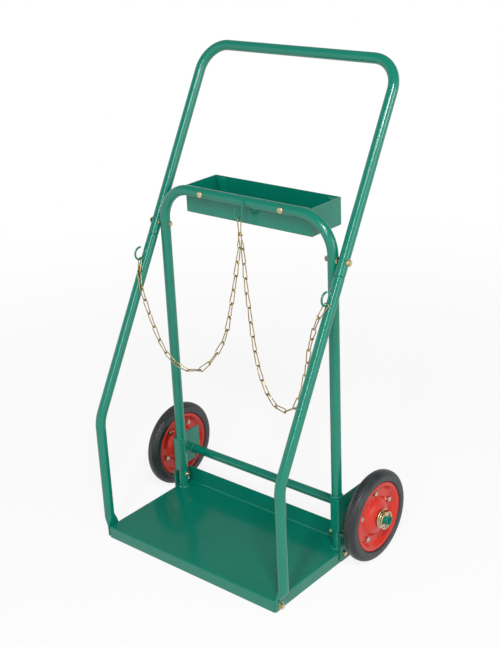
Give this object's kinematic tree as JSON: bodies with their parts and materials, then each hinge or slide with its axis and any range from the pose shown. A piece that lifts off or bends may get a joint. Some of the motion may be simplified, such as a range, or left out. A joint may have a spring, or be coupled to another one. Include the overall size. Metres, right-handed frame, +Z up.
{
  "type": "oxy acetylene torch cart",
  "caption": "Wheeled steel cart that holds gas cylinders upright: flat pan, sloping tube handle, back frame with tool tray, and retaining chains on hooks.",
  "frame": {"origin": "on the floor, under the middle of the whole cart", "axes": "+X to the right of a person who stands behind the cart and pushes it, +Y to the rear, where the wheels and the grip are, +Z up"},
  "size_m": [0.8102, 0.556, 1.314],
  "materials": {
    "green_enamel": "glossy green enamel",
    "red_enamel": "glossy red enamel",
    "tyre_rubber": "black solid rubber, satin",
    "yellow_zinc": "yellow zinc plating",
    "silver_zinc": "bright zinc plating",
    "chain_zinc": "yellow zinc plating on bright wire"
  },
  "bodies": {
    "cart": {"base_pan": "green_enamel", "left_rear_lug": "green_enamel", "right_rear_lug": "green_enamel", "back_frame": "green_enamel", "handle_bow": "green_enamel", "left_handle_leg": "green_enamel", "right_handle_leg": "green_enamel", "left_wheel_bracket": "green_enamel", "right_wheel_bracket": "green_enamel", "axle": "green_enamel", "left_wheel_spacer": "green_enamel", "right_wheel_spacer": "green_enamel", "tool_tray": "green_enamel", "tray_screws": "yellow_zinc", "tray_nuts": "yellow_zinc", "foot_bolts": "yellow_zinc", "foot_washers": "yellow_zinc", "foot_nuts": "yellow_zinc", "handle_bolts": "yellow_zinc", "handle_washers": "yellow_zinc", "handle_spacers": "yellow_zinc", "handle_nuts": "silver_zinc", "lug_long_bolts": "yellow_zinc", "lug_short_bolts": "yellow_zinc", "lug_long_nuts": "yellow_zinc", "lug_short_nuts": "yellow_zinc", "lug_spacers": "yellow_zinc", "centre_chain_hook": "green_enamel", "left_chain_hook": "green_enamel", "right_chain_hook": "green_enamel", "chain_end_links": "chain_zinc", "left_hub_washer": "yellow_zinc", "right_hub_washer": "yellow_zinc", "left_linch_pin": "yellow_zinc", "right_linch_pin": "yellow_zinc"},
    "left_wheel": {"left_tyre": "tyre_rubber", "left_rim_outer_half": "red_enamel", "left_rim_inner_half": "red_enamel", "left_hub": "red_enamel", "left_rim_bolts": "silver_zinc", "left_rim_nuts": "silver_zinc"},
    "right_wheel": {"right_tyre": "tyre_rubber", "right_rim_outer_half": "red_enamel", "right_rim_inner_half": "red_enamel", "right_hub": "red_enamel", "right_rim_bolts": "silver_zinc", "right_rim_nuts": "silver_zinc"},
    "left_linch_ring": {"left_linch_ring": "yellow_zinc"},
    "right_linch_ring": {"right_linch_ring": "yellow_zinc"},
    "left_chain": {"left_chain_links": "chain_zinc"},
    "right_chain": {"right_chain_links": "chain_zinc"}
  },
  "joints": [
    {"name": "left_wheel_spin", "type": "hinge", "parent": "cart", "child": "left_wheel", "pos_m": [-0.356, 0.084, 0.127], "axis": [1, 0, 0], "continuous": true},
    {"name": "right_wheel_spin", "type": "hinge", "parent": "cart", "child": "right_wheel", "pos_m": [0.356, 0.084, 0.127], "axis": [1, 0, 0], "continuous": true},
    {"name": "left_ring_swing", "type": "hinge", "parent": "cart", "child": "left_linch_ring", "pos_m": [-0.3941, 0.084, 0.147], "axis": [0, 1, 0], "range_deg": [0, 100]},
    {"name": "right_ring_swing", "type": "hinge", "parent": "cart", "child": "right_linch_ring", "pos_m": [0.3941, 0.084, 0.147], "axis": [0, -1, 0], "range_deg": [0, 100]},
    {"name": "left_chain_swing", "type": "hinge", "parent": "cart", "child": "left_chain", "pos_m": [-0.00538, 0.0017, 0.83583], "axis": [-0.9185, -0.2434, -0.3117], "range_deg": [-8, 45]},
    {"name": "right_chain_swing", "type": "hinge", "parent": "cart", "child": "right_chain", "pos_m": [0.0083, -0.00174, 0.83613], "axis": [-0.9198, 0.2312, 0.3171], "range_deg": [-8, 45]}
  ]
}
